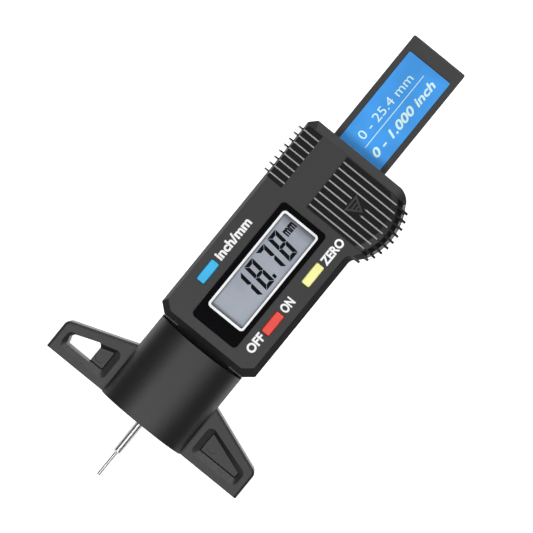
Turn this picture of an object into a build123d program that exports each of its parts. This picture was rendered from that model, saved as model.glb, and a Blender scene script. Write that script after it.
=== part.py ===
from build123d import *
import os
from math import sqrt

# Digital tyre tread depth gauge, lying on its back.
# The origin is where the probe's axis crosses the measuring face of the foot.
# +X is to the right of the display, +Y runs up the beam and +Z comes out of the display.
# All sizes are in millimetres.

# ---- driving dimensions ----------------------------------------------------
back_z = -5.0  # plane that the tool lies on
foot_width = 70.0
foot_front_z = 5.0
foot_top = 28.1
column_half = 14.5
wing_root_y = 16.85
wing_end_y = 9.45
wing_corner = 2.0
bulge_z = 13.3
bulge_flat = 2.0  # half the width of the flat strip along the top of the bulge
bulge_side = 12.9  # width of each curved flank, before its foot is cut off upright
lip_radius = 190.0
wall = 1.6

beam_half = 9.4
beam_rear_z = 1.9
beam_front_z = 5.5
beam_foot_end = 8.0
beam_top_end = 136.1
strip_half = 7.6
strip_depth = 0.5
label_start_y = 30.5

split_z = 5.8  # joint between the two halves of the head
face_z = 13.5
bevel_drop = 1.3
head_half = 17.1
head_bottom = 28.8
head_top = 98.95
neck_y = 72.6
bulge_centre = (4.6, 85.9)
bulge_radius = 18.0

stroke_in = 0.5  # how far the head can still move towards the foot
stroke_out = 24.9  # how far it can be drawn back

probe_radius = 1.15
probe_tip_radius = 0.55
probe_step_y = -11.9
probe_tip_y = -20.2
running_gap = 0.08

cell_centre = (14.8, 86.6)
cell_radius = 5.8
cell_height = 5.4

rib_count = 8
rib_width = 0.45
rib_foot_width = 0.7  # where the ribs stand out from the side of the cover
rib_first_y = 78.9
rib_last_y = 94.25
rib_stand = 1.0
rib_round = 0.16
grip_floor_z = face_z - 0.55

# ---- derived places --------------------------------------------------------
foot_half = foot_width / 2
plate_z = back_z + wall
strip_floor_z = beam_front_z - strip_depth
board_top_z = split_z + 0.6
inner_front_z = face_z - 1.5
cell_floor_z = board_top_z + 0.2
rib_top_z = face_z - 0.05
rib_places = [rib_first_y + i * (rib_last_y - rib_first_y) / (rib_count - 1) for i in range(rib_count)]

foot_screw_places = [(x, y) for x in (-12.0, 12.0) for y in (5.0, 23.5)]
foot_screw_radius = 1.0
housing_screw_places = [(-13.2, 33.2), (13.2, 33.2), (-13.2, 94.0), (13.2, 74.2)]
housing_screw_radius = 0.85
thread_gap = 0.02
gib_screw_places = (40.0, 66.0)
gib_screw_radius = 0.7
gib_screw_z = 3.7
stop_screw_place = (-5.8, 60.0)
stop_screw_radius = 0.8
clamp_y = (38.0, 48.0)
clamp_half = 3.5
clamp_rear_z = -3.2

lens_x = (-8.48, 7.72)
lens_y = (33.54, 75.15)
lens_thickness = 1.0
grip_right = -11.15
grip_y = (77.4, 96.15)
cover_x = -2.27
cover_y = (77.6, 96.15)
cover_gap = 0.18
cover_under_z = 12.2
cover_skirt_z = board_top_z + 0.2
skirt_thickness = 1.3
shoulder_reach = 1.9  # the cover is thicker this far in from its side
shoulder_z = 11.0
tongue_reach = 0.7

button_places = {"unit": (-12.23, 45.86), "power": (11.33, 46.06), "zero": (11.43, 63.9)}
button_size = (2.68, 7.16)
button_gap = 0.15
button_top_z = face_z + 0.5
button_flange_z = (11.0, 11.8)
button_foot_z = 10.4


def block(x, y, z, mode=Mode.ADD):
    """A cuboid between two values along each axis."""
    centre = ((x[0] + x[1]) / 2, (y[0] + y[1]) / 2, (z[0] + z[1]) / 2)
    with Locations(centre):
        Box(x[1] - x[0], y[1] - y[0], z[1] - z[0], mode=mode)


def post(place, radius, z, mode=Mode.ADD):
    """A cylinder along Z between two heights."""
    with Locations((place[0], place[1], (z[0] + z[1]) / 2)):
        Cylinder(radius, z[1] - z[0], mode=mode)


def cross_section(y):
    """A plane across the tool at y, with local axes along +X and +Z."""
    return Plane(origin=(0, y, 0), x_dir=(1, 0, 0), z_dir=(0, -1, 0))


def bulge_x(y, inset=0.0):
    """The right side of the head where it swells around the battery."""
    return bulge_centre[0] + sqrt((bulge_radius - inset) ** 2 - (y - bulge_centre[1]) ** 2)


def bulge_section(y, inset, low):
    """The foot's bulge cut across at y, above the height low."""
    height = bulge_z - inset - low
    flank = bulge_side - inset
    with BuildSketch(cross_section(y)) as section:
        with BuildLine():
            Line((bulge_flat + flank, low), (0, low))
            Line((0, low), (0, low + height))
            Line((0, low + height), (bulge_flat, low + height))
            EllipticalCenterArc((bulge_flat, low), flank, height, arc_size=90.0)
        make_face()
        mirror(about=Plane.YZ)
        with Locations((0, low + height / 2)):
            Rectangle(2 * (column_half - 0.2 - inset), height, mode=Mode.INTERSECT)
    return section.sketch


def head_plan(z, left=0.0, right=0.0, bottom=0.0, top=0.0):
    """The head seen from the front, drawn in from its sides by the given amounts."""
    x_left = -head_half + left
    x_right = head_half - right
    y_bottom = head_bottom + bottom
    y_top = head_top - top
    swell = (77.2, 86.5, 95.9 - top / 2)
    crown = (15.2 - right / 2, y_top)
    crown_mid = ((bulge_x(swell[2], right) + crown[0]) / 2 + 0.45, (swell[2] + y_top) / 2 + 0.45)
    with BuildSketch(Plane.XY.offset(z)) as plan:
        with BuildLine():
            Polyline(
                (x_left, y_top - 2.1),
                (x_left, y_bottom + 2.3),
                (x_left + 2.8, y_bottom),
                (x_right - 2.8, y_bottom),
                (x_right, y_bottom + 2.3),
                (x_right, neck_y),
            )
            ThreePointArc((x_right, neck_y), (x_right + 0.4, neck_y + 1.6), (x_right + 1.5, neck_y + 2.6))
            Line((x_right + 1.5, neck_y + 2.6), (bulge_x(swell[0], right), swell[0]))
            ThreePointArc(*[(bulge_x(y, right), y) for y in swell])
            ThreePointArc((bulge_x(swell[2], right), swell[2]), crown_mid, crown)
            Polyline(crown, (x_left + 2.1, y_top), (x_left, y_top - 2.1))
        make_face()
    return plan.sketch


# ---- the foot --------------------------------------------------------------
def foot_plan(z):
    """The foot seen from the front: a column between two sloping wings."""
    with BuildSketch(Plane.XY.offset(z)) as plan:
        with BuildLine():
            right = Polyline(
                (0, 0),
                (foot_half, 0),
                (foot_half, wing_end_y),
                (column_half, wing_root_y),
                (column_half, foot_top),
                (0, foot_top),
            )
            mirror(right, about=Plane.YZ)
        make_face()
        ends = plan.vertices().filter_by(lambda v: abs(v.X) > foot_half - 1)
        fillet(ends.group_by(Axis.Y)[-1], wing_corner)
        fillet(ends.group_by(Axis.Y)[0], 0.5)
    return plan.sketch


def hang_hole(z):
    """The through hole in the outer part of the left wing."""
    with BuildSketch(Plane.XY.offset(z)) as plan:
        with BuildLine():
            Polyline(
                (-30.8, 3.9),
                (-31.5, 6.3),
                (-30.4, 7.7),
                (-23.4, 10.3),
                (-22.6, 9.5),
                (-22.6, 3.9),
                close=True,
            )
        make_face()
        fillet(plan.vertices(), 0.3)
    return plan.sketch


def pocket_level(side, corners, z, radius):
    """The outline of a wing's front pocket at the height z, on the left (-1) or right (1) side."""
    with BuildSketch(Plane.XY.offset(z)) as level:
        with BuildLine():
            Polyline(*[(side * x, y) for x, y in corners], close=True)
        make_face()
        fillet(level.vertices(), radius)
    return level.sketch


pocket_floor_z = foot_front_z - 1.3
pocket_rim = [(16.2, 2.3), (32.5, 2.3), (32.5, 7.4), (16.2, 12.3)]
pocket_step = [(18.1, 4.35), (31.2, 4.35), (31.2, 6.45), (18.1, 11.0)]
pocket_floor = [(18.45, 4.7), (30.9, 4.7), (30.9, 6.25), (18.45, 10.5)]
mark_place = (20.8, 7.1)
mark_depth = 0.35
guide_length = 7.5
peg_places = [(-6.8, 14.0), (6.8, 14.0)]
peg_radius = 1.2

with BuildPart() as foot_shell:
    extrude(foot_plan(plate_z), amount=foot_front_z - plate_z)
    slopes = foot_shell.edges().filter_by_position(Axis.Z, foot_front_z, foot_front_z)
    slopes = slopes.filter_by(lambda e: column_half + 1 < abs(e.center().X) and e.center().Y > 8)
    fillet(slopes, 0.9)
    # the raised housing over the beam's end and the probe
    extrude(bulge_section(0.0, 0.0, foot_front_z - 0.5), amount=-foot_top)
    # the lip of the housing is hollowed a little towards its middle
    with BuildSketch(Plane.XY.offset(foot_front_z + 0.4)):
        with Locations((0, foot_top - 0.95 + lip_radius)):
            Circle(lip_radius)
    extrude(amount=bulge_z, mode=Mode.SUBTRACT)
    # the tunnel: the beam's seat, the hollow in front of it and the room behind it
    block((-beam_half, beam_half), (2.5, foot_top + 1), (plate_z, beam_front_z), Mode.SUBTRACT)
    extrude(bulge_section(2.5, wall, beam_front_z - 0.1), amount=-foot_top, mode=Mode.SUBTRACT)
    # the guide that the probe runs through
    block((-3.0, 3.0), (2.0, guide_length), (plate_z, 1.7))
    # the hollow backs of the wings
    with BuildSketch(Plane.XY.offset(plate_z)):
        with BuildLine():
            Polyline((16.0, 2.4), (33.0, 2.4), (33.0, 7.6), (16.0, 14.0), close=True)
        make_face()
        with BuildLine():
            Polyline((-16.0, 2.4), (-20.8, 2.4), (-20.8, 12.2), (-16.0, 14.0), close=True)
        make_face()
    extrude(amount=pocket_floor_z - wall - plate_z, mode=Mode.SUBTRACT)
    # the shallow pockets in the fronts of the wings
    for side in (-1, 1):
        levels = [
            pocket_level(side, pocket_rim, foot_front_z, 1.7),
            pocket_level(side, pocket_step, pocket_floor_z + 0.75, 0.5),
            pocket_level(side, pocket_floor, pocket_floor_z, 0.25),
        ]
        loft(sections=levels, ruled=True, mode=Mode.SUBTRACT)
        mark_z = (pocket_floor_z - mark_depth, pocket_floor_z + 0.1)
        post((side * mark_place[0], mark_place[1]), 1.65, mark_z, Mode.SUBTRACT)
    extrude(hang_hole(plate_z), amount=foot_front_z - plate_z, mode=Mode.SUBTRACT)
    # holes for the probe and the screws
    with BuildSketch(Plane.XZ):
        Circle(probe_radius + running_gap)
    extrude(amount=-guide_length, mode=Mode.SUBTRACT)
    for place in foot_screw_places:
        post(place, foot_screw_radius + thread_gap, (plate_z, 3.5), Mode.SUBTRACT)
foot_shell.part.label = "foot_shell"

with BuildPart() as foot_back_plate:
    extrude(foot_plan(back_z), amount=plate_z - back_z)
    back_edges = foot_back_plate.edges().filter_by_position(Axis.Z, back_z, back_z)
    chamfer(back_edges.filter_by(lambda e: e.center().Y > 1), 0.4)
    extrude(hang_hole(back_z), amount=plate_z - back_z, mode=Mode.SUBTRACT)
    for side in (-1, 1):
        block((side * 6.8 - 1.3, side * 6.8 + 1.3), (9.0, foot_top - 1), (plate_z, beam_rear_z))
    for place in peg_places:
        post(place, peg_radius, (beam_rear_z, beam_rear_z + 2.5))
    for place in foot_screw_places:
        post(place, 2.0, (back_z, back_z + 1.0), Mode.SUBTRACT)
        post(place, foot_screw_radius + 0.05, (back_z, plate_z), Mode.SUBTRACT)
foot_back_plate.part.label = "foot_back_plate"

with BuildPart() as foot_screws:
    for place in foot_screw_places:
        post(place, 1.9, (back_z + 0.1, back_z + 1.0))
        post(place, foot_screw_radius, (back_z + 1.0, 2.8))
        with Locations((place[0], place[1], back_z + 0.3)):
            Box(2.4, 0.5, 0.6, mode=Mode.SUBTRACT)
            Box(0.5, 2.4, 0.6, mode=Mode.SUBTRACT)
foot_screws.part.label = "foot_screws"

# ---- the beam --------------------------------------------------------------
stop_slot_y = (
    stop_screw_place[1] - stroke_in - stop_screw_radius - 0.2,
    stop_screw_place[1] + stroke_out + stop_screw_radius + 0.2,
)

with BuildPart() as beam:
    block((-beam_half, beam_half), (beam_foot_end, beam_top_end), (beam_rear_z, beam_front_z))
    top_corners = beam.edges().filter_by(Axis.Z).group_by(Axis.Y)[-1]
    fillet(top_corners, 0.6)
    top_rim = beam.edges().filter_by_position(Axis.Z, beam_front_z, beam_front_z)
    chamfer(top_rim.filter_by(lambda e: e.center().Y > beam_foot_end + 1), 0.3)
    block((-strip_half, strip_half), (beam_foot_end, 131.7), (strip_floor_z, beam_front_z), Mode.SUBTRACT)
    for place in peg_places:
        post(place, peg_radius + 0.05, (beam_rear_z, beam_rear_z + 2.7), Mode.SUBTRACT)
    slot_x = (stop_screw_place[0] - 1.1, stop_screw_place[0] + 1.1)
    block(slot_x, stop_slot_y, (beam_rear_z, beam_rear_z + 1.3), Mode.SUBTRACT)
beam.part.label = "beam"

with BuildPart() as scale_strip:
    block((-7.5, 7.5), (beam_foot_end + 0.5, 131.6), (strip_floor_z, strip_floor_z + 0.35))
scale_strip.part.label = "scale_strip"

with BuildPart() as scale_label:
    label_z = strip_floor_z + 0.35
    block((-7.45, 7.45), (label_start_y, 131.5), (label_z, label_z + 0.1))
    fillet(scale_label.edges().filter_by(Axis.Z), 0.3)
scale_label.part.label = "scale_label"

# ---- the head: common outer form -------------------------------------------
with BuildPart() as head_form:
    extrude(head_plan(split_z), amount=face_z - bevel_drop - split_z)
    face_plan = head_plan(face_z, left=0.95, right=1.9, bottom=1.8, top=2.35)
    loft(sections=[head_plan(face_z - bevel_drop), face_plan], ruled=True)


def skirt_region(z, inset):
    """Everything to the left of the battery cover's skirt, as a sketch at height z."""
    low, mid, high = 71.5, 86.0, 100.3
    with BuildSketch(Plane.XY.offset(z)) as region:
        with BuildLine():
            ThreePointArc(*[(bulge_x(y, inset), y) for y in (low, mid, high)])
            Polyline((bulge_x(high, inset), high), (-30.0, high), (-30.0, low), (bulge_x(low, inset), low))
        make_face()
    return region.sketch


lens_centre = ((lens_x[0] + lens_x[1]) / 2, (lens_y[0] + lens_y[1]) / 2)
lens_size = (lens_x[1] - lens_x[0], lens_y[1] - lens_y[0])
bay_x = (3.8, 25.0)
bay_y = (80.2, 93.0)
contact_slots = ((4.4, 7.0), (8.2, 10.8))

with BuildPart() as front_housing:
    add(head_form.part)
    # the electronics bay, and the space behind the left grip
    block((-15.4, 15.4), (31.6, 76.6), (split_z, inner_front_z), Mode.SUBTRACT)
    block((-15.4, -4.0), (78.6, 91.5), (split_z, inner_front_z), Mode.SUBTRACT)
    for place in housing_screw_places:
        post(place, 2.35, (split_z, inner_front_z))
        post(place, housing_screw_radius + thread_gap, (split_z, 10.2), Mode.SUBTRACT)
    # the seat and the window for the lens
    with BuildSketch(Plane.XY.offset(face_z - lens_thickness)):
        with Locations(lens_centre):
            RectangleRounded(lens_size[0] + 0.1, lens_size[1] + 0.1, 1.5)
    extrude(amount=lens_thickness, mode=Mode.SUBTRACT)
    block((-6.4, 5.95), (38.3, 73.5), (inner_front_z - 0.1, face_z), Mode.SUBTRACT)
    for place in button_places.values():
        with BuildSketch(Plane.XY.offset(inner_front_z - 0.1)):
            with Locations(place):
                RectangleRounded(button_size[0] + 2 * button_gap, button_size[1] + 2 * button_gap, 0.6)
        extrude(amount=3.0, mode=Mode.SUBTRACT)
    # the left grip: a sunken panel with ribs that run over the side
    block((-20.0, grip_right), grip_y, (grip_floor_z, face_z + 1), Mode.SUBTRACT)
    for y in rib_places:
        with BuildSketch(cross_section(y)):
            with BuildLine():
                Polyline(
                    (grip_right, grip_floor_z - 0.3),
                    (grip_right, rib_top_z),
                    (-16.4, rib_top_z),
                    (-18.0, face_z - 0.7),
                    (-18.5, face_z - 1.7),
                    (-18.5, split_z + 0.8),
                    (-16.6, split_z + 0.8),
                    (-16.6, grip_floor_z - 0.3),
                    close=True,
                )
            make_face()
        extrude(amount=rib_width / 2, both=True)
    crests = front_housing.edges().filter_by(Axis.X).filter_by_position(Axis.Z, rib_top_z, rib_top_z)
    fillet(crests, rib_round)
    # two short ribs on the side just below the battery cover
    for y, reach in ((77.1, 21.1), (75.1, 19.5)):
        half = rib_foot_width / 2
        block((17.5, reach), (y - half, y + half), (split_z + 0.8, 11.6))
    # the opening for the battery cover, its grooves and the gap for its skirt
    block((cover_x, 25.0), cover_y, (inner_front_z, face_z + 1), Mode.SUBTRACT)
    groove_y = (cover_y[0] - tongue_reach, cover_y[1] + tongue_reach)
    block((cover_x, 25.0), groove_y, (inner_front_z, cover_under_z + 0.6), Mode.SUBTRACT)
    with BuildSketch(Plane.XY.offset(board_top_z)):
        with Locations((20.0, (cover_y[0] + cover_y[1]) / 2)):
            Rectangle(20.0, cover_y[1] - cover_y[0])
        add(skirt_region(board_top_z, skirt_thickness + 0.25), mode=Mode.SUBTRACT)
    extrude(amount=8.0, mode=Mode.SUBTRACT)
    with BuildSketch(Plane.XY.offset(shoulder_z - 0.2)):
        with Locations((20.0, (cover_y[0] + cover_y[1]) / 2)):
            Rectangle(20.0, cover_y[1] - cover_y[0])
        add(skirt_region(shoulder_z, shoulder_reach + 0.25), mode=Mode.SUBTRACT)
    extrude(amount=4.0, mode=Mode.SUBTRACT)
    # the battery bay and the slots for its two contacts
    block(bay_x, bay_y, (board_top_z, face_z), Mode.SUBTRACT)
    for slot in contact_slots:
        block(slot, (76.0, bay_y[0] + 0.1), (split_z, board_top_z + 0.5), Mode.SUBTRACT)
front_housing.part.label = "front_housing"

channel_half = beam_half + 0.2
gib_x = (channel_half, channel_half + 1.0)
channel_floor_z = beam_rear_z - 0.3

with BuildPart() as rear_housing:
    extrude(head_plan(back_z + 1.0), amount=split_z - back_z - 1.0)
    back_plan = head_plan(back_z, left=1.0, right=1.0, bottom=1.0, top=1.0)
    loft(sections=[back_plan, head_plan(back_z + 1.0)], ruled=True)
    # the channel that the beam slides in, with room for the gib on its right
    channel_x = (-channel_half, gib_x[1] + 0.05)
    block(channel_x, (head_bottom - 1, head_top + 1), (channel_floor_z, split_z), Mode.SUBTRACT)
    # lightening pockets beside and behind the channel
    block((-15.4, -11.1), (38.0, 89.0), (plate_z, split_z), Mode.SUBTRACT)
    block((12.2, 15.4), (45.0, 61.0), (plate_z, split_z), Mode.SUBTRACT)
    block((12.2, 19.2), (79.5, 93.0), (plate_z, split_z - 0.6), Mode.SUBTRACT)
    block((-7.0, 7.0), (66.0, 95.0), (plate_z, channel_floor_z), Mode.SUBTRACT)
    # the probe's groove and the pocket for its clamp
    block((-1.4, 1.4), (head_bottom - 1, clamp_y[0]), (-1.4, channel_floor_z), Mode.SUBTRACT)
    block((-clamp_half, clamp_half), clamp_y, (clamp_rear_z, channel_floor_z), Mode.SUBTRACT)
    post((0, 43.0), 0.95, (back_z, clamp_rear_z), Mode.SUBTRACT)
    post(stop_screw_place, stop_screw_radius + thread_gap, (back_z, channel_floor_z), Mode.SUBTRACT)
    for place in housing_screw_places:
        post(place, 1.9, (back_z, plate_z), Mode.SUBTRACT)
        post(place, housing_screw_radius + 0.1, (plate_z, split_z), Mode.SUBTRACT)
    with BuildSketch(Plane.YZ.offset(gib_x[1])):
        with Locations([(y, gib_screw_z) for y in gib_screw_places]):
            Circle(gib_screw_radius + thread_gap)
    extrude(amount=8.0, mode=Mode.SUBTRACT)
rear_housing.part.label = "rear_housing"

with BuildPart() as gib_strip:
    block(gib_x, (34.0, 92.0), (beam_rear_z, split_z - 0.3))
gib_strip.part.label = "gib_strip"

with BuildPart() as gib_screws:
    with BuildSketch(Plane.YZ.offset(gib_x[1])):
        with Locations([(y, gib_screw_z) for y in gib_screw_places]):
            Circle(gib_screw_radius)
    extrude(amount=5.9)
    for y in gib_screw_places:
        slot_z = (gib_screw_z - 1, gib_screw_z + 1)
        block((gib_x[1] + 5.4, gib_x[1] + 6.0), (y - 0.15, y + 0.15), slot_z, Mode.SUBTRACT)
gib_screws.part.label = "gib_screws"

with BuildPart() as housing_screws:
    for place in housing_screw_places:
        post(place, 1.75, (back_z + 0.2, plate_z))
        post(place, housing_screw_radius, (plate_z, 9.6))
        with Locations((place[0], place[1], back_z + 0.5)):
            Box(2.3, 0.5, 0.8, mode=Mode.SUBTRACT)
            Box(0.5, 2.3, 0.8, mode=Mode.SUBTRACT)
housing_screws.part.label = "housing_screws"

with BuildPart() as stop_screw:
    post(stop_screw_place, stop_screw_radius, (back_z + 0.5, beam_rear_z + 1.0))
    with Locations((stop_screw_place[0], stop_screw_place[1], back_z + 0.6)):
        Box(2.0, 0.35, 0.6, mode=Mode.SUBTRACT)
stop_screw.part.label = "stop_screw"

# ---- the probe -------------------------------------------------------------
with BuildPart() as probe_pin:
    with BuildSketch(Plane.XY):
        with BuildLine():
            Polyline(
                (0, clamp_y[1] - 1),
                (probe_radius, clamp_y[1] - 1),
                (probe_radius, probe_step_y + 0.6),
                (probe_tip_radius, probe_step_y),
                (probe_tip_radius, probe_tip_y + 0.15),
                (probe_tip_radius - 0.15, probe_tip_y),
                (0, probe_tip_y),
                close=True,
            )
        make_face()
    revolve(axis=Axis.Y)
probe_pin.part.label = "probe_pin"

with BuildPart() as probe_clamp:
    block((-clamp_half, clamp_half), clamp_y, (clamp_rear_z, channel_floor_z))
    with BuildSketch(cross_section(clamp_y[0])):
        Circle(probe_radius + thread_gap)
    extrude(amount=clamp_y[0] - clamp_y[1], mode=Mode.SUBTRACT)
    post((0, 43.0), 0.92, (clamp_rear_z, 0), Mode.SUBTRACT)
probe_clamp.part.label = "probe_clamp"

with BuildPart() as probe_set_screw:
    post((0, 43.0), 0.9, (back_z + 0.4, -probe_radius - 0.01))
    with Locations((0, 43.0, back_z + 0.5)):
        Box(2.0, 0.35, 0.6, mode=Mode.SUBTRACT)
probe_set_screw.part.label = "probe_set_screw"

# ---- the display -----------------------------------------------------------
with BuildPart() as main_board:
    block((-15.2, 15.2), (31.8, 76.4), (split_z, board_top_z))
    for x, y in ((-15.2, 31.8), (15.2, 31.8), (15.2, 76.4)):
        block((x - 4.5, x + 4.5), (y - 5.4, y + 5.4), (split_z, board_top_z), Mode.SUBTRACT)
main_board.part.label = "main_board"

with BuildPart() as controller_chip:
    with BuildSketch(Plane.XY.offset(board_top_z)):
        with Locations((0.5, 55.5)):
            Circle(4.0)
    extrude(amount=1.4)
    fillet(controller_chip.faces().sort_by(Axis.Z)[-1].edges(), 1.2)
controller_chip.part.label = "controller_chip"

with BuildPart() as lcd_frame:
    block((-8.6, 8.2), (34.6, 75.6), (board_top_z, inner_front_z - 0.1))
    block((-7.4, 7.0), (36.0, 74.4), (9.8, inner_front_z), Mode.SUBTRACT)
    block((-7.4, 6.0), (37.0, 73.4), (board_top_z, 9.9), Mode.SUBTRACT)
lcd_frame.part.label = "lcd_frame"

with BuildPart() as lcd_panel:
    block((-7.3, 6.9), (36.1, 74.3), (9.8, 11.6))
    chamfer(lcd_panel.edges().filter_by_position(Axis.Z, 11.6, 11.6), 0.15)
lcd_panel.part.label = "lcd_panel"

with BuildPart() as zebra_strip:
    block((-7.2, -5.4), (38.0, 72.4), (board_top_z, 9.8))
zebra_strip.part.label = "zebra_strip"

with BuildPart() as window_lens:
    with BuildSketch(Plane.XY.offset(face_z - lens_thickness)):
        with Locations(lens_centre):
            RectangleRounded(lens_size[0], lens_size[1], 1.45)
    extrude(amount=lens_thickness)
    chamfer(window_lens.edges().filter_by_position(Axis.Z, face_z, face_z), 0.12)
window_lens.part.label = "window_lens"

# ---- the buttons and the rubber pads under them ----------------------------
button_pieces = []
for name, place in button_places.items():
    with BuildPart() as button:
        with BuildSketch(Plane.XY.offset(button_flange_z[1])):
            with Locations(place):
                RectangleRounded(button_size[0], button_size[1], 0.45)
        extrude(amount=button_top_z - button_flange_z[1])
        fillet(button.faces().sort_by(Axis.Z)[-1].edges(), 0.3)
        with BuildSketch(Plane.XY.offset(button_flange_z[0])):
            with Locations(place):
                RectangleRounded(button_size[0] + 1.4, button_size[1] + 1.4, 0.8)
        extrude(amount=button_flange_z[1] - button_flange_z[0])
        with BuildSketch(Plane.XY.offset(button_foot_z)):
            with Locations(place):
                RectangleRounded(1.6, 4.0, 0.5)
        extrude(amount=button_flange_z[0] - button_foot_z)
    button.part.label = name + "_button"
    with BuildPart() as pad:
        with BuildSketch(Plane.XY.offset(board_top_z)) as pad_base:
            with Locations(place):
                RectangleRounded(2.8, 5.2, 0.9)
        with BuildSketch(Plane.XY.offset(button_foot_z)) as pad_top:
            with Locations(place):
                RectangleRounded(1.8, 4.2, 0.6)
        loft(sections=[pad_base.sketch, pad_top.sketch])
    pad.part.label = name + "_pad"
    button_pieces += [button, pad]

# ---- the battery, its contacts and its cover -------------------------------
with BuildPart() as battery_cell:
    post(cell_centre, cell_radius, (cell_floor_z, cell_floor_z + cell_height))
    fillet(battery_cell.faces().sort_by(Axis.Z)[-1].edges(), 0.4)
    chamfer(battery_cell.faces().sort_by(Axis.Z)[0].edges(), 0.5)
battery_cell.part.label = "battery_cell"

contact_z = (board_top_z, board_top_z + 0.2)
with BuildPart() as negative_contact:
    block((4.6, 6.8), (75.9, 87.8), contact_z)
    block((4.6, cell_centre[0]), (85.4, 87.8), contact_z)
negative_contact.part.label = "negative_contact"

with BuildPart() as positive_contact:
    leaf_y = cell_centre[1] - cell_radius - 0.02
    block((8.4, 10.6), (75.9, leaf_y), contact_z)
    block((8.4, 17.0), (leaf_y - 0.2, leaf_y), (board_top_z, 11.0))
positive_contact.part.label = "positive_contact"

cover_left = cover_x + cover_gap
cover_span = (cover_y[0] + cover_gap, cover_y[1] - cover_gap)
arrow_x = (6.7, 11.2)
arrow_y = (83.75, 86.55, 89.35)

# heights of the cover's outer surface and how far in from its side it reaches each
cover_rings = (
    (grip_floor_z, 4.4),
    (grip_floor_z - 0.23, 2.4),
    (grip_floor_z - 1.05, 0.9),
    (grip_floor_z - 2.5, 0.0),
)

with BuildPart() as battery_cover:
    extrude(head_plan(split_z), amount=cover_rings[-1][0] - split_z)
    for upper, lower in zip(cover_rings, cover_rings[1:]):
        loft(sections=[head_plan(lower[0], right=lower[1]), head_plan(upper[0], right=upper[1])], ruled=True)
    block((cover_left, 30.0), cover_span, (cover_skirt_z, face_z), Mode.INTERSECT)
    extrude(skirt_region(0.0, skirt_thickness), amount=shoulder_z, mode=Mode.SUBTRACT)
    upper_room = skirt_region(shoulder_z - 1.0, shoulder_reach)
    extrude(upper_room, amount=cover_under_z - shoulder_z + 1.0, mode=Mode.SUBTRACT)
    tongue_y = (cover_span[0] - tongue_reach, cover_span[1] + tongue_reach)
    block((cover_left, 17.0), tongue_y, (cover_under_z, cover_under_z + 0.35))
    for y in rib_places:
        beside_arrow = arrow_y[0] < y < arrow_y[2]
        side_x = bulge_x(y)
        with BuildSketch(cross_section(y)):
            with BuildLine():
                start_x = arrow_x[1] - 0.3 if beside_arrow else cover_left
                Polyline(
                    (start_x, cover_under_z + 0.3),
                    (start_x, rib_top_z),
                    (side_x - 3.6, rib_top_z),
                    (side_x - 1.2, face_z - 0.8),
                    (side_x + rib_stand - 0.1, face_z - 2.5),
                    (side_x + rib_stand - 0.1, cover_skirt_z + 0.4),
                    (side_x - 0.6, cover_skirt_z + 0.4),
                    (side_x - 0.6, shoulder_z + 0.4),
                    (side_x - 2.2, cover_under_z + 0.3),
                    close=True,
                )
            make_face()
        extrude(amount=rib_width / 2, both=True)
        with BuildSketch(cross_section(y)):
            with BuildLine():
                Polyline(
                    (side_x - 0.5, face_z - 1.6),
                    (side_x + rib_stand, face_z - 2.9),
                    (side_x + rib_stand, cover_skirt_z + 0.6),
                    (side_x - 0.5, cover_skirt_z + 0.6),
                    close=True,
                )
            make_face()
        extrude(amount=rib_foot_width / 2, both=True)
        if beside_arrow:
            half = rib_width / 2
            block((cover_left, arrow_x[0] - 0.5), (y - half, y + half), (cover_under_z + 0.3, rib_top_z))
    crests = battery_cover.edges().filter_by(Axis.X).filter_by_position(Axis.Z, rib_top_z, rib_top_z)
    fillet(crests, rib_round)
    # the arrow that shows which way the cover slides
    with BuildSketch(Plane.XY.offset(grip_floor_z - 0.1)) as arrow:
        with BuildLine():
            Polyline((arrow_x[0], arrow_y[0]), (arrow_x[1], arrow_y[1]), (arrow_x[0], arrow_y[2]), close=True)
        make_face()
    extrude(amount=0.6)
    with BuildSketch(Plane.XY.offset(grip_floor_z + 0.05)):
        with BuildLine():
            Polyline((7.2, 84.7), (10.3, arrow_y[1]), (7.2, 88.4), close=True)
        make_face()
        with Locations([(x, arrow_y[1]) for x in (8.1, 9.15)]):
            Rectangle(0.42, 6.0, mode=Mode.SUBTRACT)
    extrude(amount=1.0, mode=Mode.SUBTRACT)
battery_cover.part.label = "battery_cover"

# ---- one STEP file for each sub-part ---------------------------------------
os.makedirs("parts", exist_ok=True)
for piece in (
    foot_shell, foot_back_plate, foot_screws, beam, scale_strip, scale_label, front_housing, rear_housing,
    gib_strip, gib_screws, housing_screws, stop_screw, probe_pin, probe_clamp, probe_set_screw, main_board,
    controller_chip, lcd_frame, lcd_panel, zebra_strip, window_lens, battery_cell, negative_contact,
    positive_contact, battery_cover, *button_pieces,
):
    export_step(piece.part, "parts/" + piece.part.label + ".step")
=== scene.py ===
import math

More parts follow.
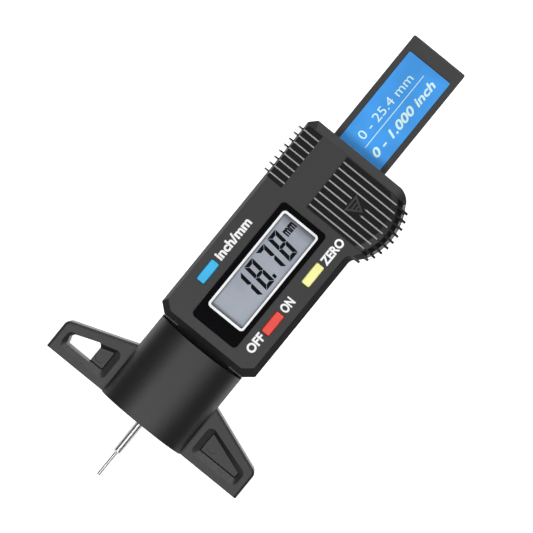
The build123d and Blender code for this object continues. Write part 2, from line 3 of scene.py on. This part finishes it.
import bmesh
import bpy
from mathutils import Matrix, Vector


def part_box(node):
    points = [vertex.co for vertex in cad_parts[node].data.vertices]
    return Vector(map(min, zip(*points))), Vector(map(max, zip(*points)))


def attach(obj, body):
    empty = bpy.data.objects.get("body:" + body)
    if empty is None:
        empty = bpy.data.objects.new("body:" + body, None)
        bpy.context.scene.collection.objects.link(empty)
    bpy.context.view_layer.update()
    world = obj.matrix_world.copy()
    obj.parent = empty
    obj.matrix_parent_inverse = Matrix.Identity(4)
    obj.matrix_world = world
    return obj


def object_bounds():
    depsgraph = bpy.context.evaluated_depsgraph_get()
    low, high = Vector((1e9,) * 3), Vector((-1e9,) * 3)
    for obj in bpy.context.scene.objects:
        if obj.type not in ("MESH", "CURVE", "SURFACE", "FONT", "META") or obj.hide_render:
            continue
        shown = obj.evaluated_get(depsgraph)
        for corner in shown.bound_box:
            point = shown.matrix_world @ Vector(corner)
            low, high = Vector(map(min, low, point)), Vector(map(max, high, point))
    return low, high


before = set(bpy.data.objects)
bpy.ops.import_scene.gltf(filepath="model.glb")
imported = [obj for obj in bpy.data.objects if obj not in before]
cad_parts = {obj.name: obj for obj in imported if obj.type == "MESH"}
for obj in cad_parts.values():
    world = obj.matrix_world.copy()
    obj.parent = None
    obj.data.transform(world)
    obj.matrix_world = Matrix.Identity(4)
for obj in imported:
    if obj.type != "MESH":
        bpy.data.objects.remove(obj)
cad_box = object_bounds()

MM = 0.001

# ---- places ---------------------------------------------------------------
# read from the frame
lens_low, lens_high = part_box("window_lens")
lcd_low, lcd_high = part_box("lcd_panel")
label_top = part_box("scale_label")[1][2]

FACE_Z = lens_high[2]
PRINT = 0.012 * MM  # thickness of printed ink
# the sunken grip, the height of its rib crests, which carry a painted highlight, and the arrow on the battery
# cover
GRIP_X = (-20.0 * MM, -11.15 * MM)
GRIP_Y = (77.4 * MM, 96.15 * MM)
CREST_Z = (FACE_Z - 0.17 * MM, FACE_Z - 0.04 * MM)
ARROW_X = (6.5 * MM, 11.4 * MM)
ARROW_Y = (83.5 * MM, 89.6 * MM)

# ---- colours and gloss used in more than one place ----------------------------
CASE = (0.006, 0.006, 0.0062)
GRIP = (0.003, 0.003, 0.0033)
# pale grey painted highlight on the rib crests, in place of the lamp's reflection on them
CREST_HIGHLIGHT = (0.34, 0.34, 0.34)
CASE_ROUGHNESS = 0.42
GRIP_ROUGHNESS = 0.22
LCD_PALE = (0.5, 0.54, 0.62)
LCD_MID = (0.42, 0.46, 0.54)
# dark blue grey of the painted shade along the display's rim
LCD_RIM_SHADE = (0.17, 0.185, 0.22)


# ---- materials --------------------------------------------------------------
def new_material(name):
    """A material with an empty node tree and one Principled shader wired to the output."""
    material = bpy.data.materials.new(name)
    material.use_nodes = True
    tree = material.node_tree
    tree.nodes.clear()
    output = tree.nodes.new("ShaderNodeOutputMaterial")
    shader = tree.nodes.new("ShaderNodeBsdfPrincipled")
    tree.links.new(shader.outputs["BSDF"], output.inputs["Surface"])
    return material, tree, shader


def place_of(tree):
    """Object coordinates, which are the part's own frame in metres."""
    return tree.nodes.new("ShaderNodeTexCoord").outputs["Object"]


def noise(tree, vector, grain, detail=2.0, stretch=(1, 1, 1)):
    """Noise whose features are about one grain across, in metres."""
    mapping = tree.nodes.new("ShaderNodeMapping")
    mapping.inputs["Scale"].default_value = [s / grain for s in stretch]
    texture = tree.nodes.new("ShaderNodeTexNoise")
    texture.inputs["Scale"].default_value = 1.0
    texture.inputs["Detail"].default_value = detail
    tree.links.new(vector, mapping.inputs["Vector"])
    tree.links.new(mapping.outputs["Vector"], texture.inputs["Vector"])
    return texture.outputs["Fac"]


def spread(tree, value, low, high, start=0.3, end=0.7):
    """Maps a value between start and end onto low to high."""
    remap = tree.nodes.new("ShaderNodeMapRange")
    remap.inputs["From Min"].default_value = start
    remap.inputs["From Max"].default_value = end
    remap.inputs["To Min"].default_value = low
    remap.inputs["To Max"].default_value = high
    tree.links.new(value, remap.inputs["Value"])
    return remap.outputs["Result"]


def blend_colour(tree, amount, first, second):
    """A colour between first and second. Each may be a colour or a socket."""
    mix = tree.nodes.new("ShaderNodeMix")
    mix.data_type = "RGBA"
    tree.links.new(amount, mix.inputs[0])
    for socket, colour in ((mix.inputs[6], first), (mix.inputs[7], second)):
        if isinstance(colour, bpy.types.NodeSocket):
            tree.links.new(colour, socket)
        else:
            socket.default_value = (*colour, 1.0)
    return mix.outputs[2]


def worn_and_highlight_edges(tree, radius):
    """1 on sharp edges and 0 on flat faces, with a soft change between them."""
    bevel = tree.nodes.new("ShaderNodeBevel")
    bevel.samples = 4
    bevel.inputs["Radius"].default_value = radius
    geometry = tree.nodes.new("ShaderNodeNewGeometry")
    dot = tree.nodes.new("ShaderNodeVectorMath")
    dot.operation = "DOT_PRODUCT"
    tree.links.new(bevel.outputs["Normal"], dot.inputs[0])
    tree.links.new(geometry.outputs["Normal"], dot.inputs[1])
    return spread(tree, dot.outputs["Value"], 1.0, 0.0, 0.8, 0.99)


def add_bump(tree, shader, height, depth, strength=1.0):
    bump = tree.nodes.new("ShaderNodeBump")
    bump.inputs["Distance"].default_value = depth
    bump.inputs["Strength"].default_value = strength
    tree.links.new(height, bump.inputs["Height"])
    tree.links.new(bump.outputs["Normal"], shader.inputs["Normal"])


def moulded(name, colour, roughness, grain=0.3 * MM, depth=0.02 * MM, wear_and_highlight=(0.0, 0.25), stretch=(1, 1, 1),
            pale=None, **extra):
    """Moulded plastic: spark-eroded grain, slight unevenness in tone and gloss, and paler edges, which are
    wear and, on the battery cover, also a painted highlight.
    """
    material, tree, shader = new_material(name)
    place = place_of(tree)
    fine = noise(tree, place, grain, 3.0, stretch)
    broad = noise(tree, place, 9 * MM)
    dull = [0.88 * c for c in colour]
    bright = [1.1 * c for c in colour]
    tone = blend_colour(tree, spread(tree, broad, 0.0, 1.0), dull, bright)
    pale = pale or [min(1.0, 0.1 + 1.6 * c) for c in colour]
    patches = spread(tree, noise(tree, place, 1.5 * MM), *wear_and_highlight)
    edge = combine(tree, "MULTIPLY", worn_and_highlight_edges(tree, 0.12 * MM), patches)
    tree.links.new(blend_colour(tree, edge, tone, pale), shader.inputs["Base Color"])
    tree.links.new(spread(tree, fine, roughness * 0.9, roughness * 1.1), shader.inputs["Roughness"])
    add_bump(tree, shader, fine, depth)
    for socket, value in extra.items():
        shader.inputs[socket.replace("_", " ")].default_value = value
    return material


def metal(name, colour, roughness, stretch=(1, 1, 1), grain=0.25 * MM, depth=0.01 * MM, rim=1.0):
    """Bare metal with drawing or grinding lines along the axis whose stretch is smallest; a rim below 1
    darkens its reflections at glancing angles, a painted shade on its flanks.
    """
    material, tree, shader = new_material(name)
    place = place_of(tree)
    lines = noise(tree, place, grain, 4.0, stretch)
    tone = blend_colour(tree, spread(tree, lines, 0.0, 1.0), [0.88 * c for c in colour], colour)
    tree.links.new(tone, shader.inputs["Base Color"])
    tree.links.new(spread(tree, lines, roughness * 0.9, roughness * 1.1), shader.inputs["Roughness"])
    shader.inputs["Metallic"].default_value = 1.0
    # rim tints reflections at glancing angles; below 1 it is painted shade along the flanks
    shader.inputs["Specular Tint"].default_value = (rim, rim, rim, 1.0)
    add_bump(tree, shader, lines, depth, 0.6)
    return material


def clear_lens(name):
    """Thin clear acrylic: seen through, with a faint gloss on top."""
    material, tree, shader = new_material(name)
    shader.inputs["Base Color"].default_value = (0.02, 0.02, 0.025, 1.0)
    place = place_of(tree)
    tree.links.new(spread(tree, noise(tree, place, 6 * MM), 0.03, 0.07), shader.inputs["Roughness"])
    shader.inputs["IOR"].default_value = 1.49
    shader.inputs["Alpha"].default_value = 0.06
    add_bump(tree, shader, noise(tree, place, 12 * MM), 0.01 * MM, 0.5)
    return material


def display_glass(name):
    """The lit face of the display: pale blue grey, with painted shade towards its rim, and a very fine weave.
    """
    material, tree, shader = new_material(name)
    place = place_of(tree)
    middle = ((lcd_low[0] + lcd_high[0]) / 2, (lcd_low[1] + lcd_high[1]) / 2)
    split = tree.nodes.new("ShaderNodeSeparateXYZ")
    tree.links.new(place, split.inputs[0])
    rim = None
    for axis, centre, reach in (("X", middle[0], 6.4 * MM), ("Y", middle[1], 18.5 * MM)):
        offset = tree.nodes.new("ShaderNodeMath")
        offset.operation = "SUBTRACT"
        offset.inputs[1].default_value = centre
        tree.links.new(split.outputs[axis], offset.inputs[0])
        size = tree.nodes.new("ShaderNodeMath")
        size.operation = "ABSOLUTE"
        tree.links.new(offset.outputs[0], size.inputs[0])
        side = spread(tree, size.outputs[0], 0.0, 1.0, reach * 0.78, reach)
        if rim is None:
            rim = side
        else:
            rim = combine(tree, "MAXIMUM", rim, side)
    pale = blend_colour(tree, spread(tree, noise(tree, place, 7 * MM), 0.0, 1.0), LCD_PALE, LCD_MID)
    # painted shade: the display darkens towards its rim
    tree.links.new(blend_colour(tree, rim, pale, LCD_RIM_SHADE), shader.inputs["Base Color"])
    tree.links.new(spread(tree, noise(tree, place, 0.15 * MM), 0.25, 0.45), shader.inputs["Roughness"])
    add_bump(tree, shader, noise(tree, place, 0.12 * MM), 0.004 * MM, 0.5)
    return material


def within(tree, **limits):
    """1 where the part's own x, y and z lie between the given limits, and 0 elsewhere."""
    split = tree.nodes.new("ShaderNodeSeparateXYZ")
    tree.links.new(place_of(tree), split.inputs[0])
    result = None
    for axis, (low, high) in limits.items():
        for operation, limit in (("GREATER_THAN", low), ("LESS_THAN", high)):
            test = tree.nodes.new("ShaderNodeMath")
            test.operation = operation
            test.inputs[1].default_value = limit
            tree.links.new(split.outputs[axis.upper()], test.inputs[0])
            result = test.outputs[0] if result is None else combine(tree, "MULTIPLY", result, test.outputs[0])
    return result


def combine(tree, operation, first, second):
    """The result of a maths operation on two sockets."""
    maths = tree.nodes.new("ShaderNodeMath")
    maths.operation = operation
    tree.links.new(first, maths.inputs[0])
    tree.links.new(second, maths.inputs[1])
    return maths.outputs[0]


def repaint(material, mask, colour, roughness=None):
    """Gives a moulded material another colour, and another roughness if asked, where the mask is 1."""
    tree = material.node_tree
    shader = next(n for n in tree.nodes if n.type == "BSDF_PRINCIPLED")
    before = shader.inputs["Base Color"].links[0].from_socket
    tree.links.new(blend_colour(tree, mask, before, colour), shader.inputs["Base Color"])
    if roughness is not None:
        gloss = tree.nodes.new("ShaderNodeMix")
        tree.links.new(mask, gloss.inputs[0])
        tree.links.new(shader.inputs["Roughness"].links[0].from_socket, gloss.inputs[2])
        gloss.inputs[3].default_value = roughness
        tree.links.new(gloss.outputs[0], shader.inputs["Roughness"])


def case_front():
    """The front half of the case: matt all over, glossy in the sunken grip, with a painted highlight on its
    rib crests.
    """
    material = moulded("case_front", CASE, CASE_ROUGHNESS)
    tree = material.node_tree
    repaint(material, within(tree, x=GRIP_X, y=GRIP_Y), GRIP, GRIP_ROUGHNESS)
    # painted highlight: the rib crests in the grip are pale grey
    repaint(material, within(tree, x=GRIP_X, y=GRIP_Y, z=CREST_Z), CREST_HIGHLIGHT)
    return material


def cover_plastic():
    """The glossy battery cover, with a painted highlight on its rib crests and a matt top on its arrow."""
    # the cover's pale edges, in the highlight grey, are partly wear and partly painted highlight
    material = moulded("grip_black", GRIP, GRIP_ROUGHNESS, depth=0.003 * MM, wear_and_highlight=(0.4, 0.6), pale=CREST_HIGHLIGHT)
    tree = material.node_tree
    # painted highlight: the rib crests outside the arrow are pale grey
    crest_highlight = combine(tree, "SUBTRACT", within(tree, z=CREST_Z), within(tree, x=ARROW_X, y=ARROW_Y, z=CREST_Z))
    repaint(material, crest_highlight, CREST_HIGHLIGHT)
    repaint(material, within(tree, x=ARROW_X, y=ARROW_Y, z=CREST_Z), CASE, CASE_ROUGHNESS)
    return material


finishes = {
    "case": moulded("case_black", CASE, CASE_ROUGHNESS),
    "case_front": case_front(),
    "grip": cover_plastic(),
    "beam": moulded("beam_black", (0.008, 0.0075, 0.007), 0.4, grain=0.2 * MM, depth=0.01 * MM),
    "label": moulded("label_blue", (0.045, 0.33, 0.85), 0.5, depth=0.003 * MM, wear_and_highlight=(0.0, 0.05),
                     Specular_IOR_Level=0.25),
    "strip": moulded("strip_laminate", (0.005, 0.008, 0.006), 0.4, stretch=(1, 0.2, 1)),
    "board": moulded("board_green", (0.02, 0.16, 0.06), 0.3, depth=0.008 * MM),
    "chip": moulded("chip_potting", (0.015, 0.015, 0.015), 0.2, grain=1.2 * MM, depth=0.05 * MM),
    "holder": moulded("holder_white", (0.7, 0.7, 0.68), 0.5),
    "zebra": moulded("zebra_rubber", (0.35, 0.3, 0.28), 0.6, stretch=(0.1, 2.5, 0.1)),
    "pad": moulded("pad_rubber", (0.3, 0.33, 0.36), 0.7, depth=0.01 * MM),
    # a rim of 0.0 darkens the probe's flanks: painted shade
    "probe": metal("probe_steel", (0.62, 0.62, 0.61), 0.28, (1, 0.05, 1), 0.12 * MM, 0.001 * MM, 0.0),
    "steel": metal("plain_steel", (0.55, 0.55, 0.54), 0.35),
    "screw": metal("screw_zinc", (0.35, 0.35, 0.36), 0.35),
    "bronze": metal("spring_bronze", (0.72, 0.5, 0.28), 0.3, (1, 0.1, 1)),
    "nickel": metal("nickel", (0.75, 0.73, 0.68), 0.22, (0.3, 1, 1)),
    "unit_key": moulded("key_blue", (0.02, 0.47, 0.85), 0.45, depth=0.004 * MM, wear_and_highlight=(0.0, 0.1)),
    "power_key": moulded("key_red", (0.95, 0.055, 0.035), 0.45, depth=0.004 * MM, wear_and_highlight=(0.0, 0.1)),
    "zero_key": moulded("key_yellow", (0.94, 0.93, 0.35), 0.45, depth=0.004 * MM, wear_and_highlight=(0.0, 0.1)),
    "lens": clear_lens("clear_acrylic"),
    "mask": moulded("printed_black", (0.002, 0.002, 0.0025), 0.5, depth=0.002 * MM, wear_and_highlight=(0.0, 0.0),
                    Specular_IOR_Level=0.02),
    "display": display_glass("display_glass"),
    "ink_white": moulded("ink_white", (0.93, 0.93, 0.95), 0.45, depth=0.004 * MM, wear_and_highlight=(0.0, 0.0)),
    "ink_pale": moulded("ink_pale", (0.66, 0.9, 0.86), 0.45, depth=0.004 * MM, wear_and_highlight=(0.0, 0.0)),
    "segment": moulded("segment_dark", (0.004, 0.005, 0.008), 0.5, depth=0.002 * MM, wear_and_highlight=(0.0, 0.0),
                       Specular_IOR_Level=0.03),
}

node_finish = {
    "foot_shell": "case", "foot_back_plate": "case", "rear_housing": "case", "front_housing": "case_front",
    "battery_cover": "grip", "beam": "beam", "scale_label": "label", "scale_strip": "strip",
    "main_board": "board", "controller_chip": "chip", "lcd_frame": "holder", "zebra_strip": "zebra",
    "unit_pad": "pad", "power_pad": "pad", "zero_pad": "pad", "probe_pin": "probe", "probe_clamp": "steel",
    "battery_cell": "nickel", "negative_contact": "nickel", "positive_contact": "nickel",
    "gib_strip": "bronze", "gib_screws": "screw", "foot_screws": "screw", "housing_screws": "screw",
    "stop_screw": "screw", "probe_set_screw": "screw", "unit_button": "unit_key",
    "power_button": "power_key", "zero_button": "zero_key", "window_lens": "lens", "lcd_panel": "display",
}
for node, finish in node_finish.items():
    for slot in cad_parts[node].material_slots:
        slot.link = "OBJECT"
        slot.material = finishes[finish]


# ---- printed pieces ---------------------------------------------------------
def printed(name, faces, z, finish, body, thickness=PRINT):
    """A thin raised layer of ink from flat outlines, given as lists of (x, y) in metres."""
    mesh = bmesh.new()
    for outline in faces:
        corners = [mesh.verts.new((x, y, z)) for x, y in outline]
        mesh.faces.new(corners)
    bmesh.ops.recalc_face_normals(mesh, faces=mesh.faces)
    for face in mesh.faces:
        if face.normal.z < 0:
            face.normal_flip()
    walls = bmesh.ops.extrude_face_region(mesh, geom=mesh.faces[:])
    lifted = [g for g in walls["geom"] if isinstance(g, bmesh.types.BMVert)]
    bmesh.ops.translate(mesh, verts=lifted, vec=(0, 0, thickness))
    bmesh.ops.recalc_face_normals(mesh, faces=mesh.faces)
    data = bpy.data.meshes.new(name)
    mesh.to_mesh(data)
    mesh.free()
    data.materials.append(finishes[finish])
    piece = bpy.data.objects.new(name, data)
    bpy.context.scene.collection.objects.link(piece)
    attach(piece, body)
    return piece


def lettering(name, words, x_range, y_range, z, finish, body, weight=0.0, slant=0.0):
    """Words that read along +Y with their tops towards -X, fitted into a box, in millimetres."""
    text = bpy.data.curves.new(name, "FONT")
    text.body = words
    text.size = 1.0
    text.offset = weight
    text.shear = slant
    text.extrude = 0.5
    text.resolution_u = 4
    holder = bpy.data.objects.new(name + "_text", text)
    bpy.context.scene.collection.objects.link(holder)
    bpy.context.view_layer.update()
    data = bpy.data.meshes.new_from_object(holder.evaluated_get(bpy.context.evaluated_depsgraph_get()))
    bpy.data.objects.remove(holder)
    low = [min(v.co[i] for v in data.vertices) for i in range(3)]
    high = [max(v.co[i] for v in data.vertices) for i in range(3)]
    along = (y_range[1] - y_range[0]) * MM / (high[0] - low[0])
    across = (x_range[1] - x_range[0]) * MM / (high[1] - low[1])
    for vertex in data.vertices:
        u, v, w = vertex.co
        x = x_range[1] * MM - (v - low[1]) * across
        y = y_range[0] * MM + (u - low[0]) * along
        vertex.co = (x, y, z + (w + 0.5) * PRINT)
    data.materials.clear()
    data.materials.append(finishes[finish])
    piece = bpy.data.objects.new(name, data)
    bpy.context.scene.collection.objects.link(piece)
    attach(piece, body)
    return piece


def rounded_rectangle(x_range, y_range, radius, steps=6):
    """Corner points of a rectangle with round corners, anticlockwise, in metres."""
    points = []
    corners = ((1, 1, 0), (0, 1, 90), (0, 0, 180), (1, 0, 270))
    for right, top, start in corners:
        centre_x = x_range[right] + (radius if right == 0 else -radius)
        centre_y = y_range[top] + (radius if top == 0 else -radius)
        for step in range(steps + 1):
            angle = math.radians(start + 90 * step / steps)
            points.append((centre_x + radius * math.cos(angle), centre_y + radius * math.sin(angle)))
    return points


def ring(name, outer, inner, z, finish, body, thickness=PRINT):
    """A flat frame between two outlines with equal numbers of points."""
    count = len(outer)
    faces = []
    for i in range(count):
        j = (i + 1) % count
        faces.append([outer[i], outer[j], inner[j], inner[i]])
    piece = printed(name, faces, z, finish, body, thickness)
    mesh = bmesh.new()
    mesh.from_mesh(piece.data)
    bmesh.ops.remove_doubles(mesh, verts=mesh.verts, dist=1e-7)
    mesh.to_mesh(piece.data)
    mesh.free()
    return piece


def mm_range(low, high):
    return (low * MM, high * MM)


# the black mask printed on the inside of the window and the white line around the display
mask_z = lens_low[2] + PRINT
mask_outer = rounded_rectangle((lens_low[0] + 0.1 * MM, lens_high[0] - 0.1 * MM),
                               (lens_low[1] + 0.1 * MM, lens_high[1] - 0.1 * MM), 1.4 * MM)
mask_inner = rounded_rectangle(mm_range(-5.82, 5.42), mm_range(39.36, 72.49), 0.5 * MM)
ring("window_mask", mask_outer, mask_inner, mask_z, "mask", "head")
line_outer = rounded_rectangle(mm_range(-6.63, 6.16), mm_range(38.5, 73.33), 1.15 * MM)
line_inner = rounded_rectangle(mm_range(-5.92, 5.5), mm_range(39.25, 72.6), 0.55 * MM)
ring("window_line", line_outer, line_inner, FACE_Z - 0.002 * MM, "ink_white", "head")

# control legends
LEGEND_WEIGHT = 0.038
legends = (
    ("legend_unit", "inch/mm", (-14.15, -11.1), (50.6, 64.6)),
    ("legend_on", "ON", (9.75, 12.68), (50.5, 54.85)),
    ("legend_off", "OFF", (9.55, 12.45), (35.55, 41.75)),
    ("legend_zero", "ZERO", (10.2, 12.98), (68.25, 76.8)),
)
for name, words, x_range, y_range in legends:
    lettering(name, words, x_range, y_range, FACE_Z, "ink_white", "head", LEGEND_WEIGHT)


# ---- display digits ---------------------------------------------------------
SEGMENTS = {"1": "bc", "7": "abc", "8": "abcdefg"}
# sizes and places of the digits, in millimetres
DIGIT_FOOT = 4.07
DIGIT_HEIGHT = 9.12
DIGIT_WIDTH = 3.65
DIGIT_THICK = 1.14
DIGIT_SLANT = 0.1
DIGIT_PITCH = 5.22
STROKE_GAP = 0.09
FIRST_DIGIT_Y = 47.03
POINT_CORNERS = ((2.55, 56.4), (3.83, 56.27), (3.83, 57.22), (2.55, 57.35))


def digit_faces(figure, start):
    """Seven mitred strokes. Digits read along +Y and their tops point to -X; all in millimetres."""
    middle = DIGIT_HEIGHT / 2

    def at(u, v, flip_u, flip_v):
        # u runs across the digit from its left side, v up from its foot
        u = DIGIT_WIDTH - u if flip_u else u
        v = DIGIT_HEIGHT - v if flip_v else v
        return ((DIGIT_FOOT - v) * MM, (start + u + DIGIT_SLANT * v) * MM)

    thick = DIGIT_THICK
    far = DIGIT_WIDTH - STROKE_GAP
    bar = [(STROKE_GAP, 0), (far, 0), (far - thick, thick), (STROKE_GAP + thick, thick)]
    upright = [(0, STROKE_GAP), (thick, thick + STROKE_GAP), (thick, middle - STROKE_GAP - thick / 2),
               (thick * 0.4, middle - STROKE_GAP), (0, middle - STROKE_GAP)]
    tip = thick * 0.45
    centre_bar = [(tip, middle), (thick, middle + tip), (DIGIT_WIDTH - thick, middle + tip),
                  (DIGIT_WIDTH - tip, middle), (DIGIT_WIDTH - thick, middle - tip), (thick, middle - tip)]
    strokes = {
        "a": (bar, False, True), "d": (bar, False, False), "g": (centre_bar, False, False),
        "b": (upright, True, True), "c": (upright, True, False),
        "f": (upright, False, True), "e": (upright, False, False),
    }
    faces = []
    for letter in SEGMENTS[figure]:
        outline, flip_u, flip_v = strokes[letter]
        faces.append([at(u, v, flip_u, flip_v) for u, v in outline])
    return faces


digit_shapes = []
for place, figure in enumerate("1878"):
    digit_shapes += digit_faces(figure, FIRST_DIGIT_Y + place * DIGIT_PITCH)
digit_shapes.append([(x * MM, y * MM) for x, y in POINT_CORNERS])
printed("display_digits", digit_shapes, lcd_high[2], "segment", "head")
lettering("display_unit", "mm", (-3.1, -0.73), (67.9, 71.84), lcd_high[2], "segment", "head",
          weight=0.05)

# ---- print on the blue label ------------------------------------------------
lettering("label_range_mm", "0 - 25.4 mm", (-4.2, -1.45), (103.2, 126.0), label_top, "ink_pale", "base")
lettering("label_range_inch", "0 - 1.000 inch", (2.1, 4.85), (101.6, 128.6), label_top, "ink_pale", "base",
          weight=0.025, slant=0.25)
line = rounded_rectangle(mm_range(0.0, 0.22), mm_range(101.8, 128.5), 0.1 * MM)
printed("label_rule", [line], label_top, "ink_pale", "base")

# ---- floor, light and camera ------------------------------------------------
FLOOR_SIZE = 40.0
FLOOR_GAP = 0.05 * MM
FLOOR_GLOW = 0.95
SKY_STRENGTH = 0.12
floor_material, floor_tree, floor_shader = new_material("pale_floor")
floor_place = place_of(floor_tree)
floor_grain = noise(floor_tree, floor_place, 60 * MM)
floor_tone = blend_colour(floor_tree, floor_grain, (0.86, 0.86, 0.86), (0.9, 0.9, 0.9))
floor_tree.links.new(floor_tone, floor_shader.inputs["Base Color"])
floor_shader.inputs["Roughness"].default_value = 0.9
floor_shader.inputs["Emission Color"].default_value = (1, 1, 1, 1)
floor_shader.inputs["Emission Strength"].default_value = FLOOR_GLOW
bpy.ops.mesh.primitive_plane_add(size=FLOOR_SIZE, location=(0, 0, cad_box[0][2] - FLOOR_GAP))
floor = bpy.context.object
floor.name = "floor"
floor.data.materials.append(floor_material)

world = bpy.data.worlds.new("studio")
world.use_nodes = True
world.node_tree.nodes["Background"].inputs["Color"].default_value = (1.0, 1.0, 1.0, 1.0)
world.node_tree.nodes["Background"].inputs["Strength"].default_value = SKY_STRENGTH
bpy.context.scene.world = world

VIEW_CENTRE = Vector((-0.29 * MM, 57.48 * MM, 0.0))


def softbox(name, direction, distance, size, power):
    """A rectangular area light that faces the middle of the tool."""
    light = bpy.data.lights.new(name, "AREA")
    light.shape = "RECTANGLE"
    light.size, light.size_y = size
    light.energy = power
    lamp = bpy.data.objects.new(name, light)
    way = Vector(direction).normalized()
    lamp.location = VIEW_CENTRE + way * distance
    lamp.rotation_euler = way.to_track_quat("Z", "Y").to_euler()
    bpy.context.scene.collection.objects.link(lamp)


softbox("key", (-0.06, -0.37, 0.92), 1.6, (0.8, 0.45), 12.0)
softbox("back_fill", (0.0, 0.43, 0.9), 1.5, (0.7, 0.3), 6.8)
softbox("top_fill", (0.0, 0.86, 0.48), 1.2, (0.6, 0.5), 2.5)
softbox("corner_fill", (-0.6, 0.75, 0.35), 1.2, (0.4, 0.4), 0.9)
softbox("right_fill", (0.34, -0.08, 0.93), 1.5, (0.45, 0.45), 1.2)

CAMERA_DISTANCE = 600 * MM
FRAME_PIXELS = 533
SENSOR = 36.0
MM_PER_PIXEL = 0.2874  # on the front of the wings
WING_FRONT_Z = 5.0 * MM
CAMERA_TURN = math.radians(39.2)
camera_data = bpy.data.cameras.new("camera")
camera_data.sensor_width = SENSOR
camera_z = FACE_Z + CAMERA_DISTANCE
camera_data.lens = (camera_z - WING_FRONT_Z) / (MM_PER_PIXEL * MM) * SENSOR / FRAME_PIXELS
camera_data.clip_start = 0.01
camera = bpy.data.objects.new("camera", camera_data)
camera.location = (VIEW_CENTRE.x, VIEW_CENTRE.y, camera_z)
camera.rotation_euler = (0.0, 0.0, CAMERA_TURN)
bpy.context.scene.collection.objects.link(camera)
bpy.context.scene.camera = camera
bpy.context.scene.view_settings.view_transform = "Standard"
